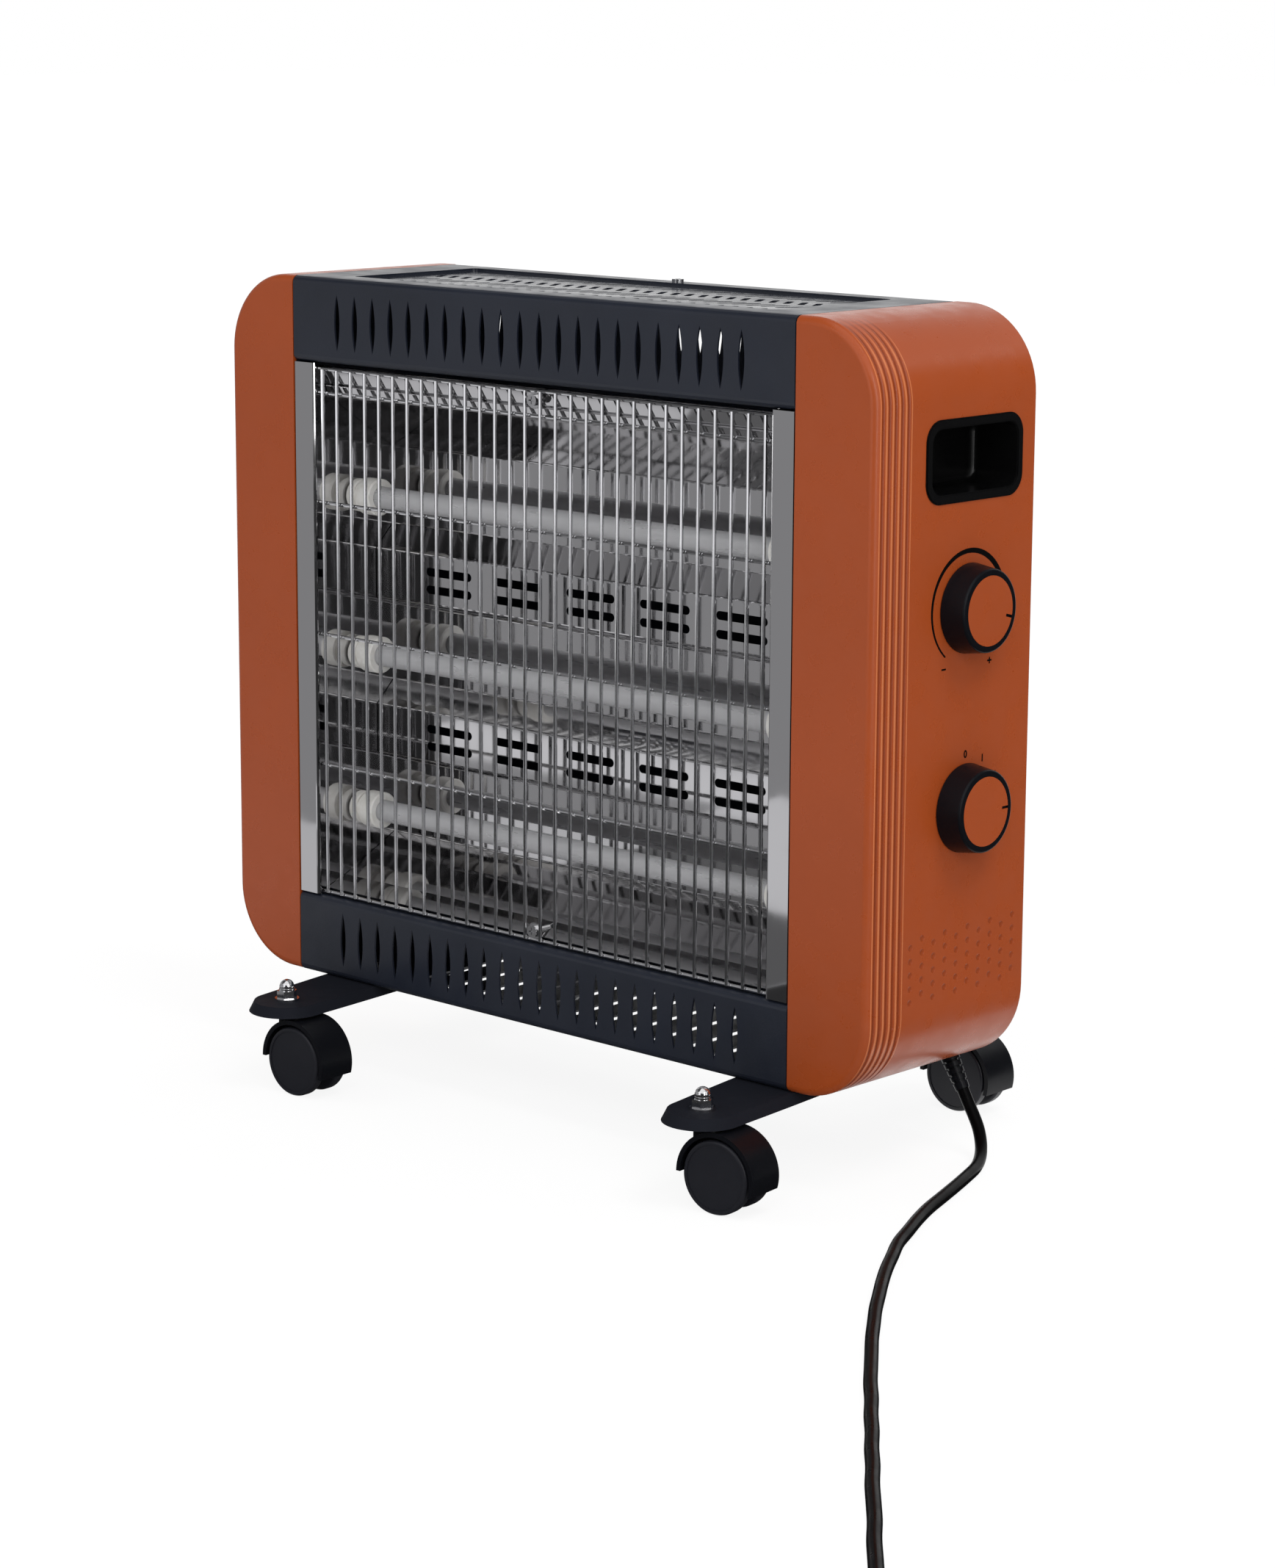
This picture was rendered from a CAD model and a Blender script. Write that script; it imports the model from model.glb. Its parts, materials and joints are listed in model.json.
import json
import math

import bmesh
import bpy
from mathutils import Matrix, Vector


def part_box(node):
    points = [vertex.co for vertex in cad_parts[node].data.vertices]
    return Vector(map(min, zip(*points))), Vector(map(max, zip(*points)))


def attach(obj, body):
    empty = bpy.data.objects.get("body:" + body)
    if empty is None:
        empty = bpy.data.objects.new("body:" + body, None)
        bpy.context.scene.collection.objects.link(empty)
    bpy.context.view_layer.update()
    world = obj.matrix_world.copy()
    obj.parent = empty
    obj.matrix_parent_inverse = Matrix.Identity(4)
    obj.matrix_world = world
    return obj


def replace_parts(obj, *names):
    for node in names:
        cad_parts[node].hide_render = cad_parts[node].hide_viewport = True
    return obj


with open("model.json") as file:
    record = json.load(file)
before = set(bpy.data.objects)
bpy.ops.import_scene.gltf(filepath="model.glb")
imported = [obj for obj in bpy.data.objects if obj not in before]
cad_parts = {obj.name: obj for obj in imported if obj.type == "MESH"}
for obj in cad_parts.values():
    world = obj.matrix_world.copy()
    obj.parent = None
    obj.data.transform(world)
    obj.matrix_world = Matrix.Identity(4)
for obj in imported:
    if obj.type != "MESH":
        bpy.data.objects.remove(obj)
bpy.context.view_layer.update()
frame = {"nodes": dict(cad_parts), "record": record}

nodes = frame["nodes"]
scene = bpy.context.scene
MM = 0.001

# ---- Measures repeated from part.scad, in metres -------------------------------------------

CASE_X = -0.007                  # the case's middle, front and bottom
CASE_FRONT = -0.0675
CASE_Z = 0.053
HOUSING_X = CASE_X + 0.251       # outer face of the right housing
GROOVE_Y = CASE_FRONT + 0.006    # middle of the first groove round each housing
GROOVE_PITCH = 0.0052
GROOVE_COUNT = 5
DIMPLES_Y = (-0.034, 0.0588)     # the field of dimples low on the right housing
DIMPLES_Z = (CASE_Z + 0.0505, CASE_Z + 0.0905)
CONTROL_Y = 0.012                # axes of the two knobs
DIAL_Z = CASE_Z + 0.263
SWITCH_Z = CASE_Z + 0.154

# ---- Camera -------------------------------------------------------------------------------

AZIMUTH, ELEVATION, ROLL = 43.0467, 11.5090, 0.2951
CAMERA_AT = Vector((1.53533, -1.62876, 0.64275))
SENSOR, LENS = 36, 90.44


def make_camera():
    a, e, r = (math.radians(v) for v in (AZIMUTH, ELEVATION, ROLL))
    ahead = Vector((-math.sin(a) * math.cos(e), math.cos(a) * math.cos(e), -math.sin(e)))
    level = ahead.cross(Vector((0, 0, 1))).normalized()
    upright = level.cross(ahead)
    right = math.cos(r) * level + math.sin(r) * upright
    up = -math.sin(r) * level + math.cos(r) * upright
    data = bpy.data.cameras.new("camera")
    data.sensor_width = SENSOR
    data.lens = LENS
    data.clip_start, data.clip_end = 0.05, 50
    cam = bpy.data.objects.new("camera", data)
    turn = Matrix((right, up, -ahead)).transposed()
    cam.matrix_world = Matrix.Translation(CAMERA_AT) @ turn.to_4x4()
    scene.collection.objects.link(cam)
    scene.camera = cam


make_camera()

# ---- Material tools -----------------------------------------------------------------------

MATS = {}


class Tree:
    """Short calls round a node tree. A socket or a plain number feeds an input."""

    def __init__(self, tree):
        self.tree = tree

    def new(self, kind, **values):
        n = self.tree.nodes.new(kind)
        for key, value in values.items():
            setattr(n, key, value)
        return n

    def link(self, a, b):
        self.tree.links.new(a, b)

    def math(self, operation, *values):
        n = self.new("ShaderNodeMath", operation=operation)
        for value, socket in zip(values, n.inputs):
            if isinstance(value, (int, float)):
                socket.default_value = value
            else:
                self.link(value, socket)
        return n.outputs[0]

    def within(self, value, low, high):
        """1 where the value is from low to high, and 0 elsewhere."""
        return self.math("COMPARE", value, (low + high) / 2, (high - low) / 2)

    def remap(self, value, low, high, to_low=0, to_high=1):
        n = self.new("ShaderNodeMapRange")
        n.inputs["From Min"].default_value = low
        n.inputs["From Max"].default_value = high
        n.inputs["To Min"].default_value = to_low
        n.inputs["To Max"].default_value = to_high
        self.link(value, n.inputs["Value"])
        return n.outputs["Result"]

    def mix(self, factor, a, b, blend="MIX"):
        """A mix of a, a colour or a socket, with the colour b."""
        n = self.new("ShaderNodeMix", data_type="RGBA", blend_type=blend)
        self.link(factor, n.inputs["Factor"])
        if isinstance(a, tuple):
            n.inputs["A"].default_value = (*a, 1)
        else:
            self.link(a, n.inputs["A"])
        n.inputs["B"].default_value = (*b, 1)
        return n.outputs["Result"]


class Surface(Tree):
    """A material with one Principled shader, kept in MATS under its name."""

    def __init__(self, name, base, rough, metallic=0.0, **sockets):
        self.mat = MATS[name] = bpy.data.materials.new(name)
        self.mat.use_nodes = True
        super().__init__(self.mat.node_tree)
        self.shader = self.tree.nodes["Principled BSDF"]
        self.shader.inputs["Base Color"].default_value = (*base, 1)
        self.shader.inputs["Roughness"].default_value = rough
        self.shader.inputs["Metallic"].default_value = metallic
        for key, value in sockets.items():
            self.shader.inputs[key.replace("_", " ")].default_value = value
        self.base = base
        self.place = self.new("ShaderNodeTexCoord").outputs["Object"]
        self.normal = None

    def noise(self, size, detail=3.0, rough=0.5, stretch=None):
        """Noise whose features are about size metres large."""
        n = self.new("ShaderNodeTexNoise")
        n.inputs["Scale"].default_value = 1 / size
        n.inputs["Detail"].default_value = detail
        n.inputs["Roughness"].default_value = rough
        place = self.place
        if stretch:
            m = self.new("ShaderNodeMapping")
            m.inputs["Scale"].default_value = stretch
            self.link(place, m.inputs["Vector"])
            place = m.outputs["Vector"]
        self.link(place, n.inputs["Vector"])
        return n.outputs["Fac"]

    def bump(self, height, depth, strength):
        """Adds a bump of that depth in metres."""
        n = self.new("ShaderNodeBump")
        n.inputs["Strength"].default_value = strength
        n.inputs["Distance"].default_value = depth
        self.link(height, n.inputs["Height"])
        if self.normal is not None:
            self.link(self.normal, n.inputs["Normal"])
        self.normal = n.outputs["Normal"]
        self.link(self.normal, self.shader.inputs["Normal"])

    def vary_colour(self, value, other, amount, at=(0.35, 0.65)):
        """Mixes the base colour with up to that amount of another, as the value passes at."""
        mixed = self.mix(self.remap(value, *at, 0, amount), self.base, other)
        self.link(mixed, self.shader.inputs["Base Color"])
        return mixed

    def vary_rough(self, value, low, high):
        self.link(self.remap(value, 0.35, 0.65, low, high), self.shader.inputs["Roughness"])


def paler(base, factor):
    return tuple(min(1, c * factor) for c in base)


# ---- Materials ----------------------------------------------------------------------------

GROOVE_TINT = (0.6, 0.52, 0.44)    # multiplies the plastic's colour
RIDGE_COLOUR = (0.56, 0.17, 0.062)
DIMPLE_TINT = (0.8, 0.75, 0.7)     # multiplies it too
GROOVE_FADE = (0.216, 0.242)       # from the case's middle: where the tints start and are full
DIMPLE_FADE = (0.00001, 0.00014)   # depths under the housing's face, in the same way


def powder_coat(name, base, rough, gloss):
    s = Surface(name, base, rough, Specular_IOR_Level=gloss)
    s.vary_colour(s.noise(0.05), paler(base, 1.3), 0.6)
    s.vary_rough(s.noise(0.02, 4), rough - 0.05, rough + 0.07)
    s.bump(s.noise(0.0011, 2), 0.00012, 0.35)
    s.bump(s.noise(0.009, 2), 0.0002, 0.12)


def moulded(name, base, rough, grain=0.0007, depth=0.00006, gloss=0.25, relief=False):
    """Moulded plastic; with relief, the housings' grooves and dimples are shaded too."""
    s = Surface(name, base, rough, Specular_IOR_Level=gloss)
    colour = s.vary_colour(s.noise(0.07, 3, 0.55), paler(base, 1.12), 0.5, (0.3, 0.7))
    if relief:
        x, y, z = split_place(s)
        wave = groove_wave(s, x, y)
        colour = s.mix(s.remap(wave, -0.2, 0.6), colour, GROOVE_TINT, "MULTIPLY")
        colour = s.mix(s.remap(wave, -0.4, -0.95), colour, RIDGE_COLOUR)
        colour = s.mix(dimple_depth(s, x, y, z), colour, DIMPLE_TINT, "MULTIPLY")
        s.link(colour, s.shader.inputs["Base Color"])
    s.vary_rough(s.noise(0.012, 4), rough - 0.04, rough + 0.06)
    s.bump(s.noise(grain), depth, 0.5)


def split_place(s):
    axes = s.new("ShaderNodeSeparateXYZ")
    s.link(s.place, axes.inputs[0])
    return axes.outputs


def groove_wave(s, x, y):
    """1 in the middle of a housing groove, -1 on the ridge beside it, 0 away from the grooves."""
    first = GROOVE_Y - GROOVE_PITCH / 2
    last = GROOVE_Y + (GROOVE_COUNT - 0.5) * GROOVE_PITCH
    turns = 2 * math.pi * GROOVE_COUNT
    wave = s.math("COSINE", s.remap(y, first, last, -math.pi, turns - math.pi))
    fade = s.remap(s.math("ABSOLUTE", s.math("SUBTRACT", x, CASE_X)), *GROOVE_FADE)
    return s.math("MULTIPLY", s.math("MULTIPLY", wave, s.within(y, first, last)), fade)


def dimple_depth(s, x, y, z):
    """1 inside the dimples low on the right housing, 0 away from them."""
    deep = s.remap(x, *(HOUSING_X - depth for depth in DIMPLE_FADE))
    field = s.math("MULTIPLY", s.within(y, *DIMPLES_Y), s.within(z, *DIMPLES_Z))
    near = s.within(x, HOUSING_X - MM, HOUSING_X + MM)
    return s.math("MULTIPLY", s.math("MULTIPLY", deep, field), near)


def brushed(name, base, rough, stretch):
    s = Surface(name, base, rough, 1.0)
    lines = s.noise(0.0007, 4, 0.6, stretch)
    s.vary_rough(lines, rough - 0.06, rough + 0.1)
    s.bump(lines, 0.00004, 0.3)


def polished(name, base, rough, wave, depth, strength, grain=True):
    s = Surface(name, base, rough, 1.0)
    s.vary_rough(s.noise(0.03, 4), rough * 0.7, rough * 1.5)
    s.bump(s.noise(wave, 2), depth, strength)
    if grain:
        s.bump(s.noise(0.0012), 0.00002, 0.2)


def glazed():
    """The holders' ceramic and the milky quartz of the tubes."""
    s = Surface("ceramic", (0.93, 0.92, 0.89), 0.42)
    s.vary_colour(s.noise(0.004, 4), (0.72, 0.69, 0.63), 0.5, (0.35, 0.7))
    s.bump(s.noise(0.0006), 0.00008, 0.5)

    s = Surface("quartz", (0.78, 0.78, 0.80), 0.34, Transmission_Weight=0.5, IOR=1.45)
    s.vary_rough(s.noise(0.004, 3, 0.5, (0.15, 1, 1)), 0.26, 0.46)
    s.bump(s.noise(0.0016, 2, 0.5, (0.2, 1, 1)), 0.00005, 0.4)


powder_coat("case_steel", (0.0125, 0.0155, 0.025), 0.33, 0.55)
powder_coat("grille_steel", (0.02, 0.023, 0.032), 0.24, 0.8)
powder_coat("foot_steel", (0.0095, 0.0105, 0.015), 0.7, 0.1)
moulded("housing_plastic", (0.38, 0.070, 0.014), 0.3, 0.0014, 0.00003, 0.45, relief=True)
moulded("black_plastic", (0.0040, 0.0044, 0.0062), 0.34, gloss=0.16)
moulded("grip_plastic", (0.0028, 0.0028, 0.003), 0.2, gloss=0.3)
moulded("wheel_plastic", (0.0145, 0.0150, 0.0195), 0.33)
moulded("cord_rubber", (0.0022, 0.0022, 0.0024), 0.3, 0.0012, 0.00001, 0.05)
moulded("print_black", (0.0025, 0.0024, 0.0024), 0.6, 0.0004, 0.00002, 0.08)
brushed("satin_steel", (0.56, 0.55, 0.54), 0.3, (1, 1, 0.02))
brushed("resistance_wire", (0.22, 0.2, 0.18), 0.5, (0.02, 1, 1))
polished("reflector_metal", (0.64, 0.635, 0.64), 0.04, 0.06, 0.0005, 0.25, grain=False)
polished("chrome", (0.74, 0.74, 0.75), 0.12, 0.02, 0.0001, 0.1)
polished("brass_pins", (0.72, 0.72, 0.71), 0.16, 0.01, 0.0001, 0.1)
glazed()

# Nodes whose finish isn't that of their slot in the record
FINISH = {"foot_bar_left": "foot_steel", "foot_bar_right": "foot_steel",
          "top_grille": "grille_steel",
          "reflector_end_left": "reflector_metal", "reflector_end_right": "reflector_metal",
          "handle_cup_left": "grip_plastic", "handle_cup_right": "grip_plastic"}
for item in frame["record"]["subparts"]:
    node = nodes.get(item["node"])
    if node is not None:
        node.data.materials.clear()
        node.data.materials.append(MATS[FINISH.get(item["node"], item["material_slot"])])

# ---- Pieces -------------------------------------------------------------------------------


def add_piece(name, data, slot, finish=None):
    """A piece on the heater, in its record slot's material or in another finish."""
    o = bpy.data.objects.new(name, data)
    scene.collection.objects.link(o)
    data.materials.append(MATS[finish or slot])
    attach(o, "heater")
    return o


def mesh_piece(bm, name, slot, finish=None):
    mesh = bpy.data.meshes.new(name)
    bm.to_mesh(mesh)
    bm.free()
    return add_piece(name, mesh, slot, finish)


def curve_piece(name, lines, radius, resolution, slot):
    """A round wire along each line of points, in metres."""
    curve = bpy.data.curves.new(name, "CURVE")
    curve.dimensions = "3D"
    curve.bevel_depth = radius
    curve.bevel_resolution = resolution
    curve.use_fill_caps = True
    for line in lines:
        spline = curve.splines.new("POLY")
        spline.points.add(len(line) - 1)
        for point, at in zip(spline.points, line):
            point.co = (*at, 1)
        spline.use_smooth = True
    return add_piece(name, curve, slot)


# ---- Mains cord, in millimetres as in part.scad --------------------------------------------

CORD_R = 3.5
ROUTE = [
    (216, 52, 36), (220, 52, 29), (225, 51, 22.5), (230, 49, 16.5), (235, 45, 11),
    (240, 39, 7), (245, 31, 4.5), (250, 21, 3.5), (256, 6, 3.5), (263, -13, 3.5),
    (270, -33, 3.5), (277, -53, 3.5), (285, -72, 3.5), (294, -91, 3.5), (303, -110, 3.5),
    (314, -128, 3.5), (325, -146, 3.5), (337, -164, 3.5), (349, -181, 3.5), (361, -198, 3.5),
    (374, -215, 3.5), (387, -232, 3.5), (400, -248, 3.5), (413, -264, 3.5), (426, -280, 3.5),
    (440, -296, 3.5), (453, -312, 3.5), (467, -328, 3.5), (480, -344, 3.5), (494, -360, 3.5),
    (507, -376, 3.5), (521, -392, 3.5), (535, -408, 3.5), (548, -424, 3.5), (562, -440, 3.5),
    (576, -456, 3.5), (590, -472, 3.5), (604, -488, 4), (618, -504, 4.5)]
COIL_R, COIL_PITCH, COIL_TURNS, COIL_POINTS = 46, 7.6, 4, 160
TAIL = 18


def coil_points():
    """The coil's middle line, as in the CAD: it spirals in, climbs a layer and spirals out."""
    (x0, y0, _), (x1, y1, z1) = ROUTE[-2:]
    heading = math.atan2(y1 - y0, x1 - x0)
    d = (math.cos(heading), math.sin(heading))
    start = (x1 + d[0] * 2 * CORD_R, y1 + d[1] * 2 * CORD_R)
    centre = (start[0] - d[1] * COIL_R, start[1] + d[0] * COIL_R)
    sweep = COIL_TURNS * 360 - math.degrees(heading)
    points = []
    for i in range(COIL_POINTS + 1):
        a = sweep * i / COIL_POINTS
        r = COIL_R - COIL_PITCH * min(a, sweep - a) / 360
        at = heading - math.pi / 2 + math.radians(a)
        rise = min(1, max(0, (a - sweep / 2 + 90) / 180))
        points.append((centre[0] + r * math.cos(at), centre[1] + r * math.sin(at),
                       z1 + COIL_PITCH * rise))
    points.append((points[-1][0] + TAIL, points[-1][1], points[-1][2]))
    return points


def smooth(points, steps=4):
    """Catmull-Rom points between the given ones."""
    p = [Vector(points[0]) * 2 - Vector(points[1])] + [Vector(v) for v in points]
    p.append(p[-1] * 2 - p[-2])
    out = []
    for i in range(1, len(p) - 2):
        a, b, c, d = p[i - 1:i + 3]
        for k in range(steps):
            t = k / steps
            out.append(0.5 * (2 * b + (c - a) * t + (2 * a - 5 * b + 4 * c - d) * t * t
                              + (3 * b - a - 3 * c + d) * t ** 3))
    out.append(p[-2])
    return out


def make_cord():
    line = smooth(ROUTE) + [Vector(v) for v in coil_points()]
    cord = curve_piece("cord", [[v * MM for v in line]], CORD_R * MM, 5, "cord_rubber")
    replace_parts(cord, "mains_cord", "cord_coil")


make_cord()

# ---- Elements: tubes, holders and windings -------------------------------------------------

TUBES = ("quartz_tube_bottom", "quartz_tube_middle", "quartz_tube_top")
TUBE_R = 0.0065
TUBE_BORE = 0.0054
TUBE_RIM = 0.0004
TUBE_END = 0.167                 # the tubes' and holders' places from the case's middle
HOLDER_START = 0.157
SHARP = math.radians(35)

# Half of a holder's section as (x, radius): a bored collar round the tube's end, a neck, a
# washer at the end plate, and a stub with a hole for the lead
COLLAR_BORE, LEAD_BORE = 0.0067, 0.0013
HOLDER = [(0, COLLAR_BORE), (0, 0.0102), (0.0008, 0.011), (0.0112, 0.011), (0.012, 0.0102),
          (0.012, 0.0082), (0.015, 0.0082), (0.015, 0.0092), (0.0156, 0.0098), (0.02, 0.0098),
          (0.0206, 0.0092), (0.0206, 0.006), (0.029, 0.006), (0.029, LEAD_BORE),
          (0.0105, LEAD_BORE), (0.0105, COLLAR_BORE)]

WIRE_R, WINDING_R, WINDING_PITCH, POINTS_A_TURN = 0.0004, 0.003, 0.0021, 10
WINDING_END, LEAD_START, LEAD_END = 0.149, 0.137, 0.191
LEAD_R = 0.00115


def lathe(bm, profile, y, z, sides=48):
    """Turns a closed profile of (x, radius) points about the line along X through y, z."""
    turn = [2 * math.pi * i / sides for i in range(sides)]
    rings = [[bm.verts.new((x, y + r * math.cos(a), z + r * math.sin(a))) for a in turn]
             for x, r in profile]
    faces = []
    for a, b in zip(rings, rings[1:] + rings[:1]):
        for i in range(sides):
            k = (i + 1) % sides
            faces.append(bm.faces.new((a[i], a[k], b[k], b[i])))
    bmesh.ops.recalc_face_normals(bm, faces=faces)
    for face in faces:
        face.smooth = True
        for edge in face.edges:
            if len(edge.link_faces) == 2 and edge.calc_face_angle() > SHARP:
                edge.smooth = False


def tube_axis(node):
    low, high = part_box(node)
    return (low[1] + high[1]) / 2, (low[2] + high[2]) / 2


def make_tubes():
    """Each tube is open at both ends, with fire-polished rims."""
    half = [(TUBE_END - TUBE_RIM, TUBE_R), (TUBE_END, TUBE_R - TUBE_RIM),
            (TUBE_END, TUBE_BORE + TUBE_RIM), (TUBE_END - TUBE_RIM, TUBE_BORE)]
    profile = [(CASE_X + x, r) for x, r in half]
    profile += [(CASE_X - x, r) for x, r in reversed(half)]
    for node in TUBES:
        bm = bmesh.new()
        lathe(bm, profile, *tube_axis(node))
        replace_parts(mesh_piece(bm, node.replace("quartz", "glass"), "quartz"), node)


def make_holders():
    for side, sign in (("left", -1), ("right", 1)):
        bm = bmesh.new()
        profile = [(CASE_X + sign * (HOLDER_START + x), r) for x, r in HOLDER]
        for node in TUBES:
            lathe(bm, profile, *tube_axis(node))
        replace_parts(mesh_piece(bm, "tube_holders_" + side, "ceramic"),
                    "ceramic_holders_" + side)


def make_windings():
    windings, leads = [], []
    count = int(2 * WINDING_END / WINDING_PITCH * POINTS_A_TURN)
    for node in TUBES:
        y, z = tube_axis(node)
        line = []
        for i in range(count + 1):
            a = 2 * math.pi * i / POINTS_A_TURN
            line.append((CASE_X - WINDING_END + 2 * WINDING_END * i / count,
                         y + WINDING_R * math.cos(a), z + WINDING_R * math.sin(a)))
        windings.append(line)
        for side in (-1, 1):
            leads.append([(CASE_X + side * x, y, z)
                          for x in (LEAD_START, WINDING_END, LEAD_END)])
    coils = curve_piece("element_windings", windings, WIRE_R, 1, "resistance_wire")
    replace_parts(coils, "heating_coils")
    curve_piece("element_leads", leads, LEAD_R, 3, "resistance_wire")


make_tubes()
make_holders()
make_windings()

# ---- Marks printed on the right housing ----------------------------------------------------

INK = (HOUSING_X - 0.00005, HOUSING_X + 0.00012)     # the ink's inner and outer faces
ARC_R, ARC_START, ARC_SWEEP, ARC_STEPS = 0.0310, 232, 282, 96
ARC_THIN, ARC_GROWTH, ARC_RATE = 0.00048, 0.0011, 1.5    # half widths, and how fast they grow
SIGN_W, SIGN_LINE = 0.0036, 0.0009
ARM_AT, ARM_H = 0.0011, 0.0013                       # the plus sign's upper and lower arm
MINUS_AT, PLUS_AT = (-123, 0.037), (-58, 0.036)      # angle and distance from the knob's axis
NUMERAL_R = 0.0295
BAR_GAP, BAR_W, BAR_H = 0.0015, 0.0008, 0.0042
ZERO_W, ZERO_H, ZERO_STEPS = 0.0014, 0.0022, 28      # half sizes


def ink_strip(bm, outer, inner):
    """A strip of ink between two lines of (y, z) points on the housing's side."""
    def row(points, x):
        return [bm.verts.new((x, y, z)) for y, z in points]
    back, front = INK
    a, b = row(outer, front), row(inner, front)
    c, d = row(outer, back), row(inner, back)
    last = len(a) - 1
    for i in range(last):
        bm.faces.new((a[i], a[i + 1], b[i + 1], b[i]))
        bm.faces.new((c[i + 1], c[i], d[i], d[i + 1]))
        bm.faces.new((a[i + 1], a[i], c[i], c[i + 1]))
        bm.faces.new((b[i], b[i + 1], d[i + 1], d[i]))
    if outer[0] != outer[-1]:
        bm.faces.new((a[0], b[0], d[0], c[0]))
        bm.faces.new((b[last], a[last], c[last], d[last]))


def ink_bar(bm, y, z, w, h):
    ink_strip(bm, [(y - w / 2, z + h / 2), (y + w / 2, z + h / 2)],
              [(y - w / 2, z - h / 2), (y + w / 2, z - h / 2)])


def ink_ring(bm, y, z, ry, rz, line):
    turn = [2 * math.pi * i / ZERO_STEPS for i in range(ZERO_STEPS + 1)]
    ink_strip(bm, [(y + ry * math.cos(t), z + rz * math.sin(t)) for t in turn],
              [(y + (ry - line) * math.cos(t), z + (rz - line) * math.sin(t)) for t in turn])


def at_angle(z, degrees, r):
    a = math.radians(degrees)
    return CONTROL_Y + r * math.cos(a), z + r * math.sin(a)


def make_marks():
    """The dial's growing arc with its two signs, and the switch's numerals 0, I, II and III."""
    bm = bmesh.new()
    outer, inner = [], []
    for i in range(ARC_STEPS + 1):
        t = i / ARC_STEPS
        angle = ARC_START - ARC_SWEEP * t
        half = ARC_THIN + ARC_GROWTH * min(1, ARC_RATE * t)
        outer.append(at_angle(DIAL_Z, angle, ARC_R + half))
        inner.append(at_angle(DIAL_Z, angle, ARC_R - half))
    ink_strip(bm, outer, inner)
    ink_bar(bm, *at_angle(DIAL_Z, *MINUS_AT), SIGN_W, SIGN_LINE)
    y, z = at_angle(DIAL_Z, *PLUS_AT)
    ink_bar(bm, y, z, SIGN_W, SIGN_LINE)
    for side in (1, -1):
        ink_bar(bm, y, z + side * ARM_AT, SIGN_LINE, ARM_H)
    ink_ring(bm, *at_angle(SWITCH_Z, 90, NUMERAL_R), ZERO_W, ZERO_H, SIGN_LINE)
    for count, angle in ((1, 60), (2, 30), (3, 0)):
        y, z = at_angle(SWITCH_Z, angle, NUMERAL_R)
        for k in range(count):
            ink_bar(bm, y + BAR_GAP * (k - (count - 1) / 2), z, BAR_W, BAR_H)
    mesh_piece(bm, "dial_marks", "black_plastic", "print_black")


make_marks()

# ---- Floor and background: white to the camera, plain grey to the light on the heater -------

FLOOR_SIZE = 40
FLOOR_FADE, FLOOR_WHITE = (0.4, 1.2), (0.84, 1.0)    # the share of white grows with distance
WHITE = 1.06
ROOM_LIGHT = 0.5


def seen_directly(t):
    """1 for what the camera, glass and reflections see, 0 for the light on surfaces."""
    path = t.new("ShaderNodeLightPath").outputs
    through = t.math("MAXIMUM", path["Is Camera Ray"], path["Is Transmission Ray"])
    return t.math("MAXIMUM", through, path["Is Glossy Ray"])


def make_floor():
    bpy.ops.mesh.primitive_plane_add(size=FLOOR_SIZE, location=(0, 0, 0))
    floor = bpy.context.object
    floor.name = "floor"
    s = Surface("floor_paper", (0.86, 0.86, 0.86), 0.9)
    s.bump(s.noise(0.002, 2), 0.0001, 0.1)
    away = s.new("ShaderNodeVectorMath", operation="LENGTH")
    s.link(s.place, away.inputs[0])
    share = s.remap(away.outputs["Value"], *FLOOR_FADE, *FLOOR_WHITE)
    glow = s.new("ShaderNodeEmission")
    glow.inputs["Color"].default_value = (1, 1, 1, 1)
    glow.inputs["Strength"].default_value = WHITE
    mix = s.new("ShaderNodeMixShader")
    s.link(s.math("MULTIPLY", seen_directly(s), share), mix.inputs[0])
    s.link(s.shader.outputs["BSDF"], mix.inputs[1])
    s.link(glow.outputs["Emission"], mix.inputs[2])
    s.link(mix.outputs["Shader"], s.tree.nodes["Material Output"].inputs["Surface"])
    s.mat.cycles.emission_sampling = "NONE"
    floor.data.materials.append(s.mat)


def make_world():
    world = bpy.data.worlds.new("studio")
    scene.world = world
    world.cycles.sampling_method = "NONE"
    world.use_nodes = True
    t = Tree(world.node_tree)
    background = t.tree.nodes["Background"]
    background.inputs["Color"].default_value = (1, 1, 1, 1)
    t.link(t.remap(seen_directly(t), 0, 1, ROOM_LIGHT, 1), background.inputs["Strength"])


make_floor()
make_world()

# ---- Studio cards that only reflections see -------------------------------------------------

GREY, DIM, DARK, VERY_DARK = 0.3, 0.13, 0.06, 0.035
WALL_TOP = 1.6


def card(name, corners, level):
    """A card of one grey level, with a trace of blue."""
    mesh = bpy.data.meshes.new(name)
    mesh.from_pydata(corners, [], [tuple(range(len(corners)))])
    o = bpy.data.objects.new(name, mesh)
    scene.collection.objects.link(o)
    mat = bpy.data.materials.new(name)
    mat.use_nodes = True
    t = Tree(mat.node_tree)
    t.tree.nodes.remove(t.tree.nodes["Principled BSDF"])
    glow = t.new("ShaderNodeEmission")
    glow.inputs["Color"].default_value = (level, level, level * 1.03, 1)
    t.link(glow.outputs["Emission"], t.tree.nodes["Material Output"].inputs["Surface"])
    mat.cycles.emission_sampling = "NONE"
    mesh.materials.append(mat)
    o.visible_camera = False
    o.visible_diffuse = False
    o.visible_transmission = False
    o.visible_volume_scatter = False
    o.visible_shadow = False


def ground_card(name, x0, x1, y0, y1, level, layer=1):
    """A card on the floor; one on a higher layer covers those below it."""
    z = layer * MM
    card(name, [(x0, y0, z), (x1, y0, z), (x1, y1, z), (x0, y1, z)], level)


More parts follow.
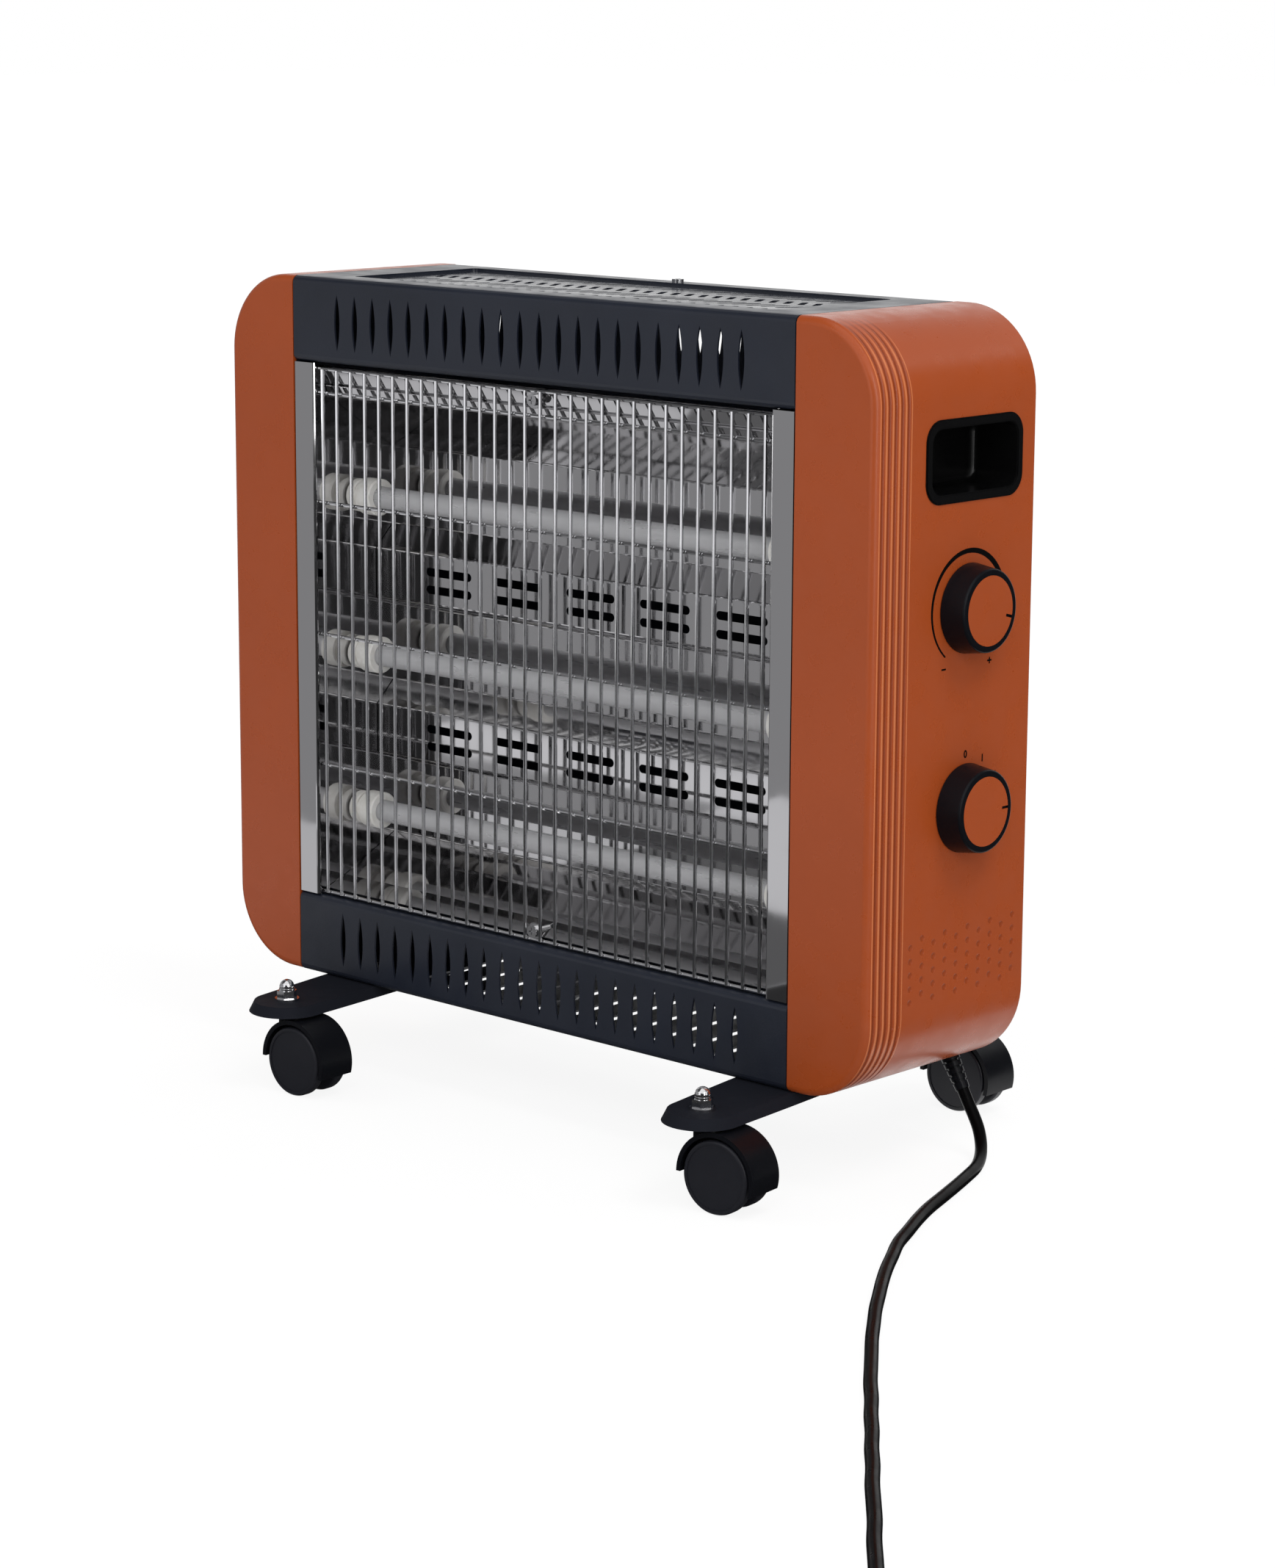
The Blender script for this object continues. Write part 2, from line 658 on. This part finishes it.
def wall_card(name, start, end, level, low=0):
    (x0, y0), (x1, y1) = start, end
    card(name, [(x0, y0, low), (x1, y1, low), (x1, y1, WALL_TOP), (x0, y0, WALL_TOP)], level)


def make_cards():
    # The ground in front, as it shows in the reflector and in the strips beside the guard
    ground_card("grey_ground", -2.4, -0.1, -3.0, -0.19, GREY)
    ground_card("shaded_ground", -1.5, -0.1, -0.19, 0.03, 0.05)
    ground_card("bright_ground", -1.5, -0.45, -0.52, -0.19, 0.6, 2)
    ground_card("strip_ground", -0.5, -0.36, -0.85, -0.66, 0.7, 2)
    ground_card("strip_ground_near", -0.36, -0.1, -0.7, -0.54, 0.7, 2)
    ground_card("dim_ground", -0.45, -0.1, -0.54, -0.19, DIM, 2)
    ground_card("near_ground", -0.45, -0.3, -0.27, -0.19, 0.38, 3)
    z = 2 * MM
    card("slot_ground", [(-0.92, -0.81, z), (-0.5, -0.81, z), (-0.5, -0.69, z),
                         (-0.82, -0.69, z), (-0.92, -0.77, z)], 0.75)
    # The room round the heater
    wall_card("grey_left", (-2.4, -3.0), (-2.4, 0.8), GREY)
    wall_card("grey_front", (-2.4, -3.0), (-0.8, -3.0), GREY)
    wall_card("window", (-0.4, -1.6), (0.35, -1.6), 1.1, low=0.1)
    ground_card("dark_ground", -0.1, 2.6, -3.0, 0.03, VERY_DARK)
    wall_card("dark_front", (0.6, -3.0), (2.6, -3.0), VERY_DARK)
    wall_card("dark_right", (2.6, -3.0), (2.6, -0.6), VERY_DARK)
    wall_card("dark_rear", (3.2, 0.9), (0.5, 3.0), DARK)
    ground_card("dark_ground_rear", 0.3, 3.2, 0.03, 3.0, DARK)
    low, high = WALL_TOP, 3.4
    card("upper_left", [(-2.4, -3.0, low), (-2.4, 0.8, low), (-0.9, 0.8, high),
                        (-0.9, -3.0, high)], 0.07)
    z = 2.0
    card("roof", [(-2.4, 0.2, z), (2.6, 0.2, z), (2.6, 2.2, z), (-2.4, 2.2, z)], 0.25)


make_cards()

# ---- Lights -------------------------------------------------------------------------------


def area_light(name, at, to, size, watts, seen=False):
    """A soft box; seen says whether it shows in reflections."""
    data = bpy.data.lights.new(name, "AREA")
    data.shape = "RECTANGLE"
    data.size, data.size_y = size
    data.energy = watts
    o = bpy.data.objects.new(name, data)
    o.location = at
    o.visible_glossy = seen
    o.rotation_euler = (Vector(to) - Vector(at)).to_track_quat("-Z", "Y").to_euler()
    scene.collection.objects.link(o)


area_light("key", (1.7, -2.2, 2.0), (0, 0, 0.25), (1.2, 1.2), 18)
area_light("strip", (2.15, -1.05, 0.85), (0.1, 0, 0.3), (0.45, 1.6), 10, seen=True)
area_light("fill", (-2.0, -1.8, 1.6), (0, 0, 0.25), (1.4, 1.4), 12)
area_light("top", (1.3, -0.1, 2.3), (0.1, 0, 0.4), (1.0, 1.0), 18)
area_light("rear", (-0.4, 1.9, 2.2), (0, 0, 0.4), (1.4, 1.0), 12)
scene.view_settings.view_transform = "Standard"
